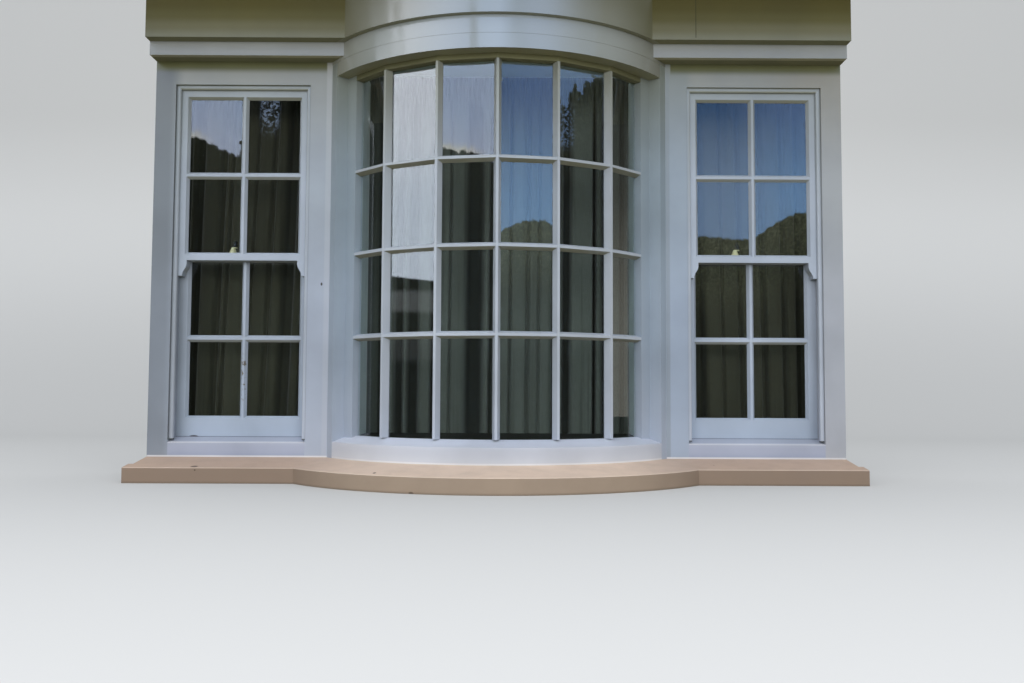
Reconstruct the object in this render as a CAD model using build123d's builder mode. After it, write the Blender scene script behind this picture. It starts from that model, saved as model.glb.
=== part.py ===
"""Bow window between hung-sash windows: a facade piece of painted timber on a bowed sill.

Millimetres, X to the right, Y into the house, Z up. The origin lies on the underside of the
outer sill, under the face of the casings and halfway between the flanking windows.
"""
import os
from math import asin, atan, cos, degrees, radians, sin, sqrt, tan

from build123d import *

os.makedirs("parts", exist_ok=True)

# Bow: the circle that carries its posts, fascia and bottom rail, and how far it stands out
bow_radius = 835.0
bow_projection = 351.0
bow_centre_y = bow_radius - bow_projection
bow_half = sqrt(bow_radius**2 - bow_centre_y**2)

# Flanking windows, outwards from the bow: mullion board, opening, outer casing board
mullion_width = 89.58
flank_width = 548.0
casing_width = 82.0
casing_thickness = 28.0
flank_in = bow_half + mullion_width
flank_out = flank_in + flank_width
flank_mid = (flank_in + flank_out) / 2
opening_half = flank_out + casing_width

# Outer sill, one casting with a bowed middle and a horn at each end that stands further back
sill_front_height = 59.0
sill_fall = 27.0
sill_reach = 185.0
sill_horn = 18.0
sill_horn_depth = 60.0
sill_arris = 4.0
base_z = sill_front_height + sill_fall

# Timber sills of the flanking windows
flank_sill_face = 58.0
flank_sill_rise = 18.0
flank_sill_z = base_z + flank_sill_face + flank_sill_rise

# Hung sashes, two panes by two, the upper one outside the lower one
sash_thickness = 44.0
sash_gap = 4.0
sash_rebate = 5.0
sash_stile = 44.0
meeting_rail = 33.0
bottom_rail = 85.0
top_rail = 68.0
pane_height = 303.0
bar_width = 28.0
bar_nose = 10.0
putty_depth = 14.0
glass_thickness = 4.0
horn_drop = 64.0
horn_shoulder = 12.0
horn_foot = 26.0
sash_left = flank_in + sash_rebate
sash_right = flank_out - sash_rebate
pane_width = (sash_right - sash_left - 2 * sash_stile - bar_width) / 2
sash_glass_height = 2 * pane_height + bar_width
upper_sash_back = casing_thickness + sash_thickness
lower_sash_y = upper_sash_back + sash_gap
lower_glass_z = flank_sill_z + bottom_rail
meeting_z = lower_glass_z + sash_glass_height
upper_glass_z = meeting_z + meeting_rail
sash_top_z = upper_glass_z + sash_glass_height + top_rail

# Head casing over the sashes, and the back of the frames behind them
casing_lap = 17.0
head_casing_height = 95.0
box_lip = 4.0
head_casing_z = sash_top_z - casing_lap
soffit_z = head_casing_z + head_casing_height
frame_depth = lower_sash_y + sash_thickness + box_lip

# Staff beads in front of the sashes
bead_width = 16.0
bead_depth = 16.0
bead_round = 8.0
bead_foot_gap = 3.0

# Sash fasteners
fastener_offset = 58.0
plate_length = 70.0
plate_width = 24.0
plate_height = 4.0
body_radius = 17.0
body_height = 26.0
body_taper_angle = 22.0
knob_radius = 9.0
knob_height = 31.0
knob_offset = 9.0
knob_sink = 3.0
knob_chamfer = 5.0

# Bow frame: posts, flat lights that meet at glazing bars, and the rail under them
post_cheek = 26.4
reveal_depth = 51.0
light_count = 6
light_depth = 40.0
light_putty_depth = 27.0
end_stile = 54.0
bow_rim = 100.0
bow_rail_face = 63.5
bow_rail_rise = 24.0
post_angle = degrees(asin((bow_half - post_cheek) / bow_radius))
light_radius = bow_radius - reveal_depth
light_angle = 2 * post_angle / light_count
bow_glass_z = base_z + bow_rail_face + bow_rail_rise

# Transoms of the bow: in line with the bars and the meeting rails of the sashes beside it
low_transom_z = lower_glass_z + pane_height + bar_width / 2
middle_transom_z = meeting_z + meeting_rail / 2
high_transom_z = upper_glass_z + pane_height + bar_width / 2

# Head of the bow, down from the soffit: ceiling, fascia, and the head rail that shows below it
ceiling_thickness = 13.0
fascia_height = 56.0
head_rail_show = 20.0
bow_band_z = soffit_z - ceiling_thickness
fascia_z = bow_band_z - fascia_height
bow_head_z = fascia_z - head_rail_show

# Band and frieze, straight over the flanks and round over the bow
recess = 75.0
band_height = 55.0
band_thickness = 25.0
band_proud = 1.0
frieze_height = 173.0
frieze_thickness = 25.0
frieze_proud = 47.0
bow_frieze_proud = 25.0
cap_thickness = 25.0
frieze_z = soffit_z + band_height
head_top_z = frieze_z + frieze_height

# Inner side: linings and window board
lining_step = 10.0
lining_thickness = 25.0
lining_back = 215.0
board_thickness = 22.0
board_nosing = 17.0

# Curtain track on its arms, and the curtains under it
track_inset = 10.0
track_height = 24.0
track_width = 18.0
arm_width = 30.0
arm_height = 12.0
arm_count = 5
arm_end = 190.0
curtain_depth = 60.0
curtain_clearance = 4.0
curtain_hang = 0.3
curtain_foot_drop = 22.0
curtain_end = 5.0
curtain_parting = 40.0
middle_curtain_half = 660.0
track_half = opening_half - track_inset
track_y = lining_back + board_nosing + curtain_clearance + curtain_depth / 2
curtain_foot_z = base_z - curtain_foot_drop


def on_bow(radius, angle):
    """Point of a circle about the bow's centre, at an angle in degrees from its front."""
    return (radius * sin(radians(angle)), bow_centre_y - radius * cos(radians(angle)))


def bow_crossing(radius, y):
    """Distance from the middle at which a circle about the bow's centre crosses a depth."""
    return sqrt(radius**2 - (bow_centre_y - y) ** 2)


def front_plane(y):
    """Upright plane at a depth; what is extruded from it comes forward."""
    return Plane(origin=(0, y, 0), x_dir=(1, 0, 0), z_dir=(0, -1, 0))


def board(x0, x1, y0, y1, z0, z1):
    """Plain board between two corners."""
    with BuildPart() as piece:
        with BuildSketch(Plane.XY.offset(z0)):
            with Locations(((x0 + x1) / 2, (y0 + y1) / 2)):
                Rectangle(x1 - x0, y1 - y0)
        extrude(amount=z1 - z0)
    return piece.part


def bow_sector(radius, back_y, z0, z1):
    """Everything inside a circle of the bow and in front of a depth, between two heights."""
    half = bow_crossing(radius, back_y)
    with BuildPart() as sector:
        with BuildSketch(Plane.XY.offset(z0)):
            with BuildLine():
                ThreePointArc((-half, back_y), on_bow(radius, 0), (half, back_y))
                Line((half, back_y), (-half, back_y))
            make_face()
        extrude(amount=z1 - z0)
    return sector.part


def save(piece, name):
    """Label a finished piece and write it."""
    piece.label = name
    export_step(piece, f"parts/{name}.step")


def save_pair(piece, stem):
    """Write a right-hand piece and its mirror image on the left."""
    left = mirror(piece, about=Plane.YZ)
    save(piece, f"{stem}_right")
    save(left, f"{stem}_left")
    return [left, piece]


# Outer sill: level bed, a top that falls to the front, and a front that bows out round the lights
sill_radius = bow_radius + sill_reach
sill_end = opening_half + sill_horn
horn_back = sill_horn_depth - sill_reach
horn_back_z = base_z + sill_fall * horn_back / sill_reach
with BuildPart() as sill_bow:
    with BuildSketch(Plane.XZ.offset(-bow_centre_y)):
        Polygon(
            (0, 0),
            (sill_radius, 0),
            (sill_radius, sill_front_height),
            (bow_radius, base_z),
            (0, base_z),
            align=None,
        )
    revolve(axis=Axis((0, bow_centre_y, 0), (0, 0, 1)), revolution_arc=360)
    add(board(-sill_radius, sill_radius, -sill_radius, 0, 0, base_z), mode=Mode.INTERSECT)
with BuildPart() as outer_sill:
    with BuildSketch(Plane.YZ.offset(-opening_half)):
        Polygon(
            (-sill_reach, 0),
            (-sill_reach, sill_front_height),
            (0, base_z),
            (frame_depth, base_z),
            (frame_depth, 0),
            align=None,
        )
    extrude(amount=2 * opening_half)
    with BuildSketch(Plane.YZ.offset(-sill_end)):
        Polygon(
            (-sill_reach, 0),
            (-sill_reach, sill_front_height),
            (horn_back, horn_back_z),
            (horn_back, 0),
            align=None,
        )
    extrude(amount=2 * sill_end)
    add(sill_bow.part)
    top_edges = outer_sill.edges().filter_by_position(Axis.Z, sill_front_height - 1, sill_front_height + 1)
    fillet([edge for edge in top_edges if edge.center().Y < -sill_reach + 1], radius=sill_arris)
save(outer_sill.part, "outer_sill")

# Bottom rail of the bow: upright face, a slope up to the panes, and a level top inside them
with BuildPart() as bow_bottom_rail:
    with BuildSketch(Plane.XZ.offset(-bow_centre_y)):
        Polygon(
            (bow_radius - bow_rim, base_z),
            (bow_radius, base_z),
            (bow_radius, base_z + bow_rail_face),
            (light_radius - light_putty_depth, bow_glass_z),
            (bow_radius - bow_rim, bow_glass_z),
            align=None,
        )
    revolve(axis=Axis((0, bow_centre_y, 0), (0, 0, 1)), revolution_arc=360)
    # Only the stretch between the reveals of the end posts stays
    with BuildSketch(Plane.XY):
        Polygon(
            (0, bow_centre_y),
            on_bow(2 * bow_radius, -post_angle),
            on_bow(4 * bow_radius, 0),
            on_bow(2 * bow_radius, post_angle),
            align=None,
        )
    extrude(amount=2 * bow_glass_z, mode=Mode.INTERSECT)
save(bow_bottom_rail.part, "bow_bottom_rail")

# Lights of the bow: flat, and turned to each other by the light angle
light_angles = [light_angle * (i - light_count / 2) for i in range(light_count + 1)]
half_light = light_angle / 2
light_half = light_radius * sin(radians(half_light))
mitre = cos(radians(half_light))


def light_outline(inset):
    """Corners of the faceted line that lies a given depth inside the outer faces of the lights."""
    return [on_bow(light_radius - inset / mitre, angle) for angle in light_angles]


def light_plane(i):
    """Upright plane of one light: X runs along it, Y up, Z outwards, from the middle of its face."""
    angle = light_angles[i] + half_light
    along = (cos(radians(angle)), sin(radians(angle)), 0)
    outwards = (sin(radians(angle)), -cos(radians(angle)), 0)
    return Plane(origin=(*on_bow(light_radius * mitre, angle), 0), x_dir=along, z_dir=outwards)


def in_last_light(along, inset):
    """Point in plan of the last light on the right, by distances along it and into it."""
    place = light_plane(light_count - 1).from_local_coords((along, 0, -inset))
    return (place.X, place.Y)


# End posts: round outer face, reveal towards the bow's centre, and the stile beside the last pane
stile_edge = light_half - end_stile
last_light_angle = light_angles[-1] - half_light
lining_half = in_last_light(stile_edge, light_depth)[0] + lining_step
lining_out = lining_half + lining_thickness


def lining_front(x):
    """Depth at which the back of the last light meets a lining at a distance from the middle."""
    corner = in_last_light(stile_edge, light_depth)
    return corner[1] + (x - corner[0]) * tan(radians(last_light_angle))


cheek_angle = (post_angle + degrees(asin(bow_half / bow_radius))) / 2
with BuildPart() as bow_post:
    with BuildSketch(Plane.XY.offset(base_z)):
        with BuildLine():
            ThreePointArc(on_bow(bow_radius, post_angle), on_bow(bow_radius, cheek_angle), (bow_half, 0))
            Polyline(
                (bow_half, 0),
                (bow_half, frame_depth),
                (lining_out, frame_depth),
                (lining_out, lining_front(lining_out)),
                in_last_light(stile_edge, light_depth),
                in_last_light(stile_edge, 0),
                on_bow(light_radius, post_angle),
                on_bow(bow_radius, post_angle),
            )
        make_face()
    extrude(amount=bow_band_z - base_z)
    add(bow_bottom_rail.part, mode=Mode.SUBTRACT)
bow_posts = save_pair(bow_post.part, "bow_post")


def bar_section(stretch=1.0):
    """Outline across and into the light: a slim nose, full width at the glass, a slim inner side."""
    inner = light_putty_depth + glass_thickness
    half_outline = [
        (bar_nose / 2, 0),
        (bar_width / 2, light_putty_depth),
        (bar_width / 2, inner),
        (bar_nose / 2, light_depth),
    ]
    mirrored = [(-across, depth) for across, depth in reversed(half_outline)]
    return [(across, depth * stretch) for across, depth in half_outline + mirrored]


# Glazing bars of the bow: one on each corner of the lights, deeper by the mitre between them
with BuildPart() as bow_bars:
    with BuildSketch(Plane.XY.offset(bow_glass_z)):
        for angle in light_angles[1:-1]:
            with Locations(Location((*on_bow(light_radius, angle), 0), (0, 0, angle))):
                Polygon(*bar_section(1 / mitre), align=None)
    extrude(amount=bow_head_z - bow_glass_z)
save(bow_bars.part, "bow_bars")

# Transoms: straight from bar to bar in each light, scribed to the bars and the posts
with BuildPart() as bow_transoms:
    for i in range(light_count):
        face = light_plane(i)
        start = face.origin - face.x_dir * light_half
        with BuildSketch(Plane(origin=start, x_dir=-face.z_dir, z_dir=face.x_dir)):
            with Locations((0, low_transom_z), (0, middle_transom_z), (0, high_transom_z)):
                Polygon(*[(depth, across) for across, depth in bar_section()], align=None)
        extrude(amount=2 * light_half)
    add([bow_bars.part, *bow_posts], mode=Mode.SUBTRACT)
save(bow_transoms.part, "bow_transoms")

# Head rail of the bow: straight over each light, behind the fascia
with BuildPart() as bow_head_rail:
    with BuildSketch(Plane.XY.offset(bow_head_z)):
        Polygon(*light_outline(0), *reversed(light_outline(light_depth)), align=None)
    extrude(amount=bow_band_z - bow_head_z)
    add(bow_posts, mode=Mode.SUBTRACT)
save(bow_head_rail.part, "bow_head_rail")

# Panes of the bow: a flat sheet in each light, parted by its bars and transoms
with BuildPart() as bow_glass:
    for i in range(light_count):
        with BuildSketch(light_plane(i).offset(-light_putty_depth - glass_thickness)):
            with Locations((0, (bow_glass_z + bow_head_z) / 2)):
                Rectangle(2 * light_half, bow_head_z - bow_glass_z)
        extrude(amount=glass_thickness)
    add([bow_bars.part, bow_transoms.part, *bow_posts], mode=Mode.SUBTRACT)
save(bow_glass.part, "bow_glass")

# Fascia: curved board whose back follows the straight lights
with BuildPart() as bow_fascia:
    add(bow_sector(bow_radius, 0, fascia_z, bow_band_z))
    with BuildSketch(Plane.XY.offset(fascia_z)):
        corners = light_outline(0)
        Polygon(*corners, (corners[-1][0], frame_depth), (corners[0][0], frame_depth), align=None)
    extrude(amount=fascia_height, mode=Mode.SUBTRACT)
    add(bow_posts, mode=Mode.SUBTRACT)
save(bow_fascia.part, "bow_fascia")

# Band over the bow: stands a little proud of the fascia, over the posts and back to the beam
band_back = -recess + band_thickness
band_radius = bow_radius + band_proud
ceiling_radius = band_radius - band_thickness
with BuildPart() as bow_band:
    add(bow_sector(band_radius, 0, bow_band_z, soffit_z))
    add(bow_sector(band_radius, band_back, soffit_z, frieze_z))
    add(bow_sector(ceiling_radius, 0, bow_band_z, frieze_z), mode=Mode.SUBTRACT)
save(bow_band.part, "bow_band")

# Ceiling of the bow: thin board inside the band, over the posts and the lights
ceiling_half = bow_crossing(ceiling_radius, 0)
with BuildPart() as bow_ceiling:
    add(bow_sector(ceiling_radius, 0, bow_band_z, soffit_z))
    add(board(-ceiling_half, ceiling_half, 0, frame_depth, bow_band_z, soffit_z))
save(bow_ceiling.part, "bow_ceiling")

# Frieze over the bow, and the board that closes its top
frieze_radius = bow_radius + bow_frieze_proud
cap_radius = frieze_radius - frieze_thickness
with BuildPart() as bow_frieze:
    add(bow_sector(frieze_radius, band_back, frieze_z, head_top_z))
    add(bow_sector(cap_radius, band_back, frieze_z, head_top_z), mode=Mode.SUBTRACT)
save(bow_frieze.part, "bow_frieze")
bow_cap = bow_sector(cap_radius, band_back, head_top_z - cap_thickness, head_top_z)
save(bow_cap, "bow_cap")

# Beam across the whole opening, with its upper half brought forward behind the friezes
frieze_face = -recess - frieze_proud
frieze_back = frieze_face + frieze_thickness
with BuildPart() as head_beam:
    with BuildSketch(Plane.YZ.offset(-opening_half)):
        Polygon(
            (band_back, soffit_z),
            (frame_depth, soffit_z),
            (frame_depth, head_top_z),
            (frieze_back, head_top_z),
            (frieze_back, frieze_z),
            (band_back, frieze_z),
            align=None,
        )
    extrude(amount=2 * opening_half)
    add(bow_sector(frieze_radius, band_back, frieze_z, head_top_z), mode=Mode.SUBTRACT)
save(head_beam.part, "head_beam")

# Straight bands and friezes over the flanking windows, scribed to the bow
with BuildPart() as band:
    add(board(bow_half / 2, opening_half, -recess, band_back, soffit_z, frieze_z))
    add(bow_sector(band_radius, band_back, soffit_z, frieze_z), mode=Mode.SUBTRACT)
save_pair(band.part, "band")
with BuildPart() as frieze:
    add(board(bow_half / 2, opening_half, frieze_face, frieze_back, frieze_z, head_top_z))
    add(bow_sector(frieze_radius, band_back, frieze_z, head_top_z), mode=Mode.SUBTRACT)
save_pair(frieze.part, "frieze")


def window_surround(outline, opening, front, depth):
    """Frame open at its foot: outline is left, right, foot and top, opening is left, right and head."""
    left, right, foot, top = outline
    inner_left, inner_right, head = opening
    with BuildPart() as surround:
        with BuildSketch(front_plane(front + depth)):
            with Locations(((left + right) / 2, (foot + top) / 2)):
                Rectangle(right - left, top - foot)
            with Locations(((inner_left + inner_right) / 2, (foot + head) / 2)):
                Rectangle(inner_right - inner_left, head - foot, mode=Mode.SUBTRACT)
        extrude(amount=depth)
    return surround.part


# Casings: flat boards framing each flanking window, joined without a break in the paint
frame_outline = (bow_half, opening_half, base_z, soffit_z)
casing = window_surround(frame_outline, (flank_in, flank_out, head_casing_z), 0, casing_thickness)
save_pair(casing, "casing")

# Sash boxes: the pulley stiles and head that the sashes slide in
sash_opening = (sash_left, sash_right, sash_top_z)
box_depth = frame_depth - casing_thickness
sash_box = window_surround(frame_outline, sash_opening, casing_thickness, box_depth)
save_pair(sash_box, "sash_box")

# Timber sills: upright face flush with the casings, then a slope up to the lower sash
with BuildPart() as window_sill:
    with BuildSketch(Plane.YZ.offset(flank_in)):
        Polygon(
            (0, base_z),
            (0, base_z + flank_sill_face),
            (lower_sash_y, flank_sill_z),
            (frame_depth, flank_sill_z),
            (frame_depth, base_z),
            align=None,
        )
    extrude(amount=flank_width)
    add(sash_box, mode=Mode.SUBTRACT)
save_pair(window_sill.part, "window_sill")

# Staff beads: a rounded strip in front of the sashes, stopped just short of the sloping sill
slope_at_bead_z = base_z + flank_sill_face + flank_sill_rise * casing_thickness / lower_sash_y
bead_foot_z = slope_at_bead_z + bead_foot_gap
bead_outline = (flank_in, flank_out, bead_foot_z, head_casing_z)
bead_opening = (flank_in + bead_width, flank_out - bead_width, head_casing_z - bead_width)
with BuildPart() as staff_bead:
    add(window_surround(bead_outline, bead_opening, casing_thickness - bead_depth, bead_depth))
    front_edges = staff_bead.faces().sort_by(Axis.Y)[0].edges()
    uprights = front_edges.filter_by(Axis.Z).sort_by(Axis.X)[1:-1]
    head_edge = front_edges.filter_by(Axis.X).sort_by(Axis.Z)[-2]
    fillet([*uprights, head_edge], radius=bead_round)
save_pair(staff_bead.part, "staff_bead")


def sash(front, foot, glass_foot, top):
    """Two by two sash: panes cut through, bevelled outside for putty and inside for a mould."""
    bevel = (bar_width - bar_nose) / 2
    glass_back = front + putty_depth + glass_thickness
    mould = sash_thickness - putty_depth - glass_thickness
    glass_mid_z = glass_foot + sash_glass_height / 2
    # Each cut starts at a depth and runs forward or back, widening by the bevel
    cuts = (
        (front_plane(front + sash_thickness), sash_thickness, 0),
        (front_plane(front + putty_depth), putty_depth, -degrees(atan(bevel / putty_depth))),
        (front_plane(glass_back), -mould, -degrees(atan(bevel / mould))),
    )
    with BuildPart() as frame:
        with BuildSketch(front_plane(front + sash_thickness)):
            with Locations((flank_mid, (foot + top) / 2)):
                Rectangle(sash_right - sash_left, top - foot)
        extrude(amount=sash_thickness)
        for start, reach, splay in cuts:
            with BuildSketch(start):
                with Locations((flank_mid, glass_mid_z)):
                    with GridLocations(pane_width + bar_width, pane_height + bar_width, 2, 2):
                        Rectangle(pane_width, pane_height)
            extrude(amount=reach, taper=splay, mode=Mode.SUBTRACT)
    return frame.part


# Upper sashes: each stile runs on below the meeting rail as an ogee horn
horn_shoulder_z = meeting_z - horn_shoulder
horn_foot_z = meeting_z - horn_drop
with BuildPart() as upper_sash:
    add(sash(casing_thickness, meeting_z, upper_glass_z, sash_top_z))
    for edge_x, inwards in ((sash_left, 1), (sash_right, -1)):
        shoulder_x = edge_x + inwards * sash_stile
        foot_x = edge_x + inwards * horn_foot
        with BuildSketch(front_plane(upper_sash_back)):
            with BuildLine():
                Spline(
                    (shoulder_x, horn_shoulder_z),
                    ((shoulder_x + foot_x) / 2, (horn_shoulder_z + horn_foot_z) / 2),
                    (foot_x, horn_foot_z),
                    tangents=((0, -1), (0, -1)),
                )
                Polyline(
                    (foot_x, horn_foot_z),
                    (edge_x, horn_foot_z),
                    (edge_x, meeting_z),
                    (shoulder_x, meeting_z),
                    (shoulder_x, horn_shoulder_z),
                )
            make_face()
        extrude(amount=sash_thickness)
    # The meeting rails close the gap between the sashes on a splayed joint
    with BuildSketch(Plane.YZ.offset(sash_left)):
        Polygon(
            (upper_sash_back, meeting_z),
            (lower_sash_y, meeting_z),
            (upper_sash_back, upper_glass_z),
            align=None,
        )
    extrude(amount=sash_right - sash_left)
save_pair(upper_sash.part, "upper_sash")

# Lower sashes: they stand on the timber sills, one sash further in
with BuildPart() as lower_sash:
    add(sash(lower_sash_y, flank_sill_z, lower_glass_z, upper_glass_z))
    with BuildSketch(Plane.YZ.offset(sash_left)):
        Polygon(
            (lower_sash_y, meeting_z),
            (lower_sash_y, upper_glass_z),
            (upper_sash_back, upper_glass_z),
            align=None,
        )
    extrude(amount=sash_right - sash_left)
save_pair(lower_sash.part, "lower_sash")

# Panes of the hung sashes
for name, front, glass_foot in (
    ("upper_glass", casing_thickness, upper_glass_z),
    ("lower_glass", lower_sash_y, lower_glass_z),
):
    with BuildPart() as sash_glass:
        with BuildSketch(front_plane(front + putty_depth + glass_thickness)):
            with Locations((flank_mid, glass_foot + sash_glass_height / 2)):
                with GridLocations(pane_width + bar_width, pane_height + bar_width, 2, 2):
                    Rectangle(pane_width, pane_height)
        extrude(amount=glass_thickness)
    save_pair(sash_glass.part, name)

# Sash fasteners: plate, tapered body and lever knob on each lower meeting rail, left of the bar
for name, window_mid in (("left", -flank_mid), ("right", flank_mid)):
    place = (window_mid - fastener_offset, lower_sash_y + sash_thickness / 2)
    body_z = upper_glass_z + plate_height
    knob_z = body_z + body_height - knob_sink
    with BuildPart() as sash_fastener:
        with BuildSketch(Plane.XY.offset(upper_glass_z)):
            with Locations(place):
                SlotOverall(plate_length, plate_width)
        extrude(amount=plate_height)
        with BuildSketch(Plane.XY.offset(body_z)):
            with Locations(place):
                Circle(body_radius)
        extrude(amount=body_height, taper=body_taper_angle)
        with BuildSketch(Plane.XY.offset(knob_z)):
            with Locations((place[0] + knob_offset, place[1])):
                Circle(knob_radius)
        extrude(amount=knob_height)
        chamfer(sash_fastener.edges().sort_by(Axis.Z)[-1], length=knob_chamfer)
    save(sash_fastener.part, f"sash_fastener_{name}")

# Linings: boards that run back inwards from each end post
with BuildPart() as lining:
    with BuildSketch(Plane.XY.offset(base_z)):
        Polygon(
            (lining_half, lining_front(lining_half)),
            (lining_out, lining_front(lining_out)),
            (lining_out, lining_back),
            (lining_half, lining_back),
            align=None,
        )
    extrude(amount=bow_band_z - base_z)
    add(bow_bottom_rail.part, mode=Mode.SUBTRACT)
save_pair(lining.part, "lining")

# Window board: fills the bow between the linings, level with the top of the bottom rail
rail_back = bow_radius - bow_rim
board_front = bow_centre_y - sqrt(rail_back**2 - lining_half**2)
board_back = lining_back + board_nosing
with BuildPart() as window_board:
    with BuildSketch(Plane.XY.offset(bow_glass_z - board_thickness)):
        with BuildLine():
            ThreePointArc((-lining_half, board_front), on_bow(rail_back, 0), (lining_half, board_front))
            Polyline(
                (lining_half, board_front),
                (lining_half, board_back),
                (-lining_half, board_back),
                (-lining_half, board_front),
            )
        make_face()
    extrude(amount=board_thickness)
    add(bow_posts, mode=Mode.SUBTRACT)
save(window_board.part, "window_board")

# Curtain track: one rail on arms from the back of the beam
with BuildPart() as curtain_track:
    with BuildSketch(Plane.XY.offset(soffit_z)):
        with Locations((0, track_y)):
            Rectangle(2 * track_half, track_width)
    extrude(amount=track_height)
    with BuildSketch(Plane.XY.offset(soffit_z + track_height - arm_height)):
        with Locations((0, (frame_depth + track_y) / 2)):
            with GridLocations(2 * (track_half - arm_end) / (arm_count - 1), 0, arm_count, 1):
                Rectangle(arm_width, track_y - frame_depth)
    extrude(amount=arm_height)
save(curtain_track.part, "curtain_track")

# Curtains: closed outlines of the gathered cloth, hung just under the track
side_curtain_in = middle_curtain_half + curtain_parting
side_curtain_out = track_half - curtain_end
for name, x0, x1 in (
    ("left", -side_curtain_out, -side_curtain_in),
    ("middle", -middle_curtain_half, middle_curtain_half),
    ("right", side_curtain_in, side_curtain_out),
):
    curtain_front = track_y - curtain_depth / 2
    curtain_back = track_y + curtain_depth / 2
    curtain = board(x0, x1, curtain_front, curtain_back, curtain_foot_z, soffit_z - curtain_hang)
    save(curtain, f"curtain_{name}")
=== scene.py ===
"""Looks of a painted timber bow window with a hung sash window on either side."""

from math import pi, radians

import bpy
import numpy as np
from mathutils import Matrix, Vector


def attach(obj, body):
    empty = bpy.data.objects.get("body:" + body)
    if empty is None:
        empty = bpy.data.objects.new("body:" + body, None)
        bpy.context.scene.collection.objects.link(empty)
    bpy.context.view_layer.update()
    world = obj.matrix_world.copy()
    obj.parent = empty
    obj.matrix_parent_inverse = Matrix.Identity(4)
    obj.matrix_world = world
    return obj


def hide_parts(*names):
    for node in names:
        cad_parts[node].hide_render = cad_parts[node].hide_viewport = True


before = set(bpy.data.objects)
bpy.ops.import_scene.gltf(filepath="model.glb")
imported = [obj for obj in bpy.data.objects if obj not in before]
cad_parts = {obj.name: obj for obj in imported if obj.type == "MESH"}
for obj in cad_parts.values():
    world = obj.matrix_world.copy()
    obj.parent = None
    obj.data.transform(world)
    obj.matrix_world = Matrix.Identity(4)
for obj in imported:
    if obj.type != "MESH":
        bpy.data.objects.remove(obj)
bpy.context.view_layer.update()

# Camera: low and nearly square in front of the unit, looking slightly up, with a normal wide
# lens. The image is taken as 1024 x 683 pixels.
eye = (0.04786, -3.56481, 0.36159)
camera_right = (0.9999843, -0.00330705, 0.00452408)
camera_up = (-0.004695, -0.05364614, 0.99854897)
camera_back = (-0.00305956, -0.99855453, -0.05366083)
image_width = 1024
focal_pixels = 885.83
lens = bpy.data.cameras.new("lens")
lens.sensor_fit = "HORIZONTAL"
lens.sensor_width = 36.0
lens.lens = focal_pixels * lens.sensor_width / image_width
camera = bpy.data.objects.new("camera", lens)
turn = Matrix((camera_right, camera_up, camera_back)).transposed().to_4x4()
camera.matrix_world = Matrix.Translation(eye) @ turn
bpy.context.scene.collection.objects.link(camera)
bpy.context.scene.camera = camera
bpy.context.scene.view_settings.view_transform = "Standard"


# Casings and sash boxes: planed softwood boards nailed round each opening, filled, and painted
# with oil gloss by brush. Strokes run along the boards, and old coats leave soft ridges under
# the last one. Dirt gathers where the bead meets the board; painted shade darkens their tops.
def feed(tree, slot, value):
    """Give an input a number, a vector, a colour or another node's output."""
    if isinstance(value, bpy.types.NodeSocket):
        tree.links.new(value, slot)
    elif slot.type == "RGBA":
        slot.default_value = (*value, 1.0)
    else:
        slot.default_value = value


def add_node(tree, kind, **values):
    """New shader node; values go to its settings, or to its inputs by their names."""
    made = tree.nodes.new(kind)
    for name, value in values.items():
        if hasattr(made, name):
            setattr(made, name, value)
        else:
            feed(tree, made.inputs[name.replace("_", " ")], value)
    return made


def do_math(tree, operation, *values):
    """One arithmetic step on numbers or sockets; returns its output."""
    made = add_node(tree, "ShaderNodeMath", operation=operation)
    for slot, value in zip(made.inputs, values):
        feed(tree, slot, value)
    return made.outputs[0]


def times(tree, first, *others):
    """Product of numbers and sockets; returns its output."""
    for value in others:
        first = do_math(tree, "MULTIPLY", first, value)
    return first


def largest(tree, first, *others):
    """Largest of several masks; returns its output."""
    for value in others:
        first = do_math(tree, "MAXIMUM", first, value)
    return first


def on_vectors(tree, operation, *values):
    """One arithmetic step on vectors; returns the node's outputs."""
    made = add_node(tree, "ShaderNodeVectorMath", operation=operation)
    for slot, value in zip(made.inputs, values):
        feed(tree, slot, value)
    return made.outputs


def noise(tree, place, scale, detail, **more):
    """Noise between 0 and 1 over a place; returns its output."""
    made = add_node(tree, "ShaderNodeTexNoise", Vector=place, Scale=scale, Detail=detail, **more)
    return made.outputs["Fac"]


def split(tree, vector):
    """X, Y and Z of a vector, as outputs by those names."""
    return add_node(tree, "ShaderNodeSeparateXYZ", Vector=vector).outputs


def blend_colour(tree, share, first, second, how="MIX"):
    """Colour between two by a share from 0 to 1; returns its output."""
    made = add_node(tree, "ShaderNodeMix", data_type="RGBA", blend_type=how)
    for slot, value in zip((made.inputs[0], made.inputs[6], made.inputs[7]), (share, first, second)):
        feed(tree, slot, value)
    return made.outputs[2]


def spread(tree, value, low, high, start=0.0, end=1.0):
    """Value carried smoothly from the range low to high onto start to end."""
    made = add_node(tree, "ShaderNodeMapRange", interpolation_type="SMOOTHSTEP")
    for slot, number in zip(made.inputs, (value, low, high, start, end)):
        feed(tree, slot, number)
    return made.outputs[0]


def new_group(name, takes, gives):
    """Empty shader node group; returns it, its inputs to read and its outputs to fill."""
    tree = bpy.data.node_groups.new(name, "ShaderNodeTree")
    for way, sockets in (("INPUT", takes), ("OUTPUT", gives)):
        for label, kind in sockets.items():
            tree.interface.new_socket(label, in_out=way, socket_type=f"NodeSocket{kind}")
    return tree, tree.nodes.new("NodeGroupInput").outputs, tree.nodes.new("NodeGroupOutput").inputs


def use_group(tree, group, **values):
    """Place a node group in a material, with numbers or sockets for its inputs."""
    made = tree.nodes.new("ShaderNodeGroup")
    made.node_tree = group
    for name, value in values.items():
        feed(tree, made.inputs[name.replace("_", " ")], value)
    return made.outputs


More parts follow.
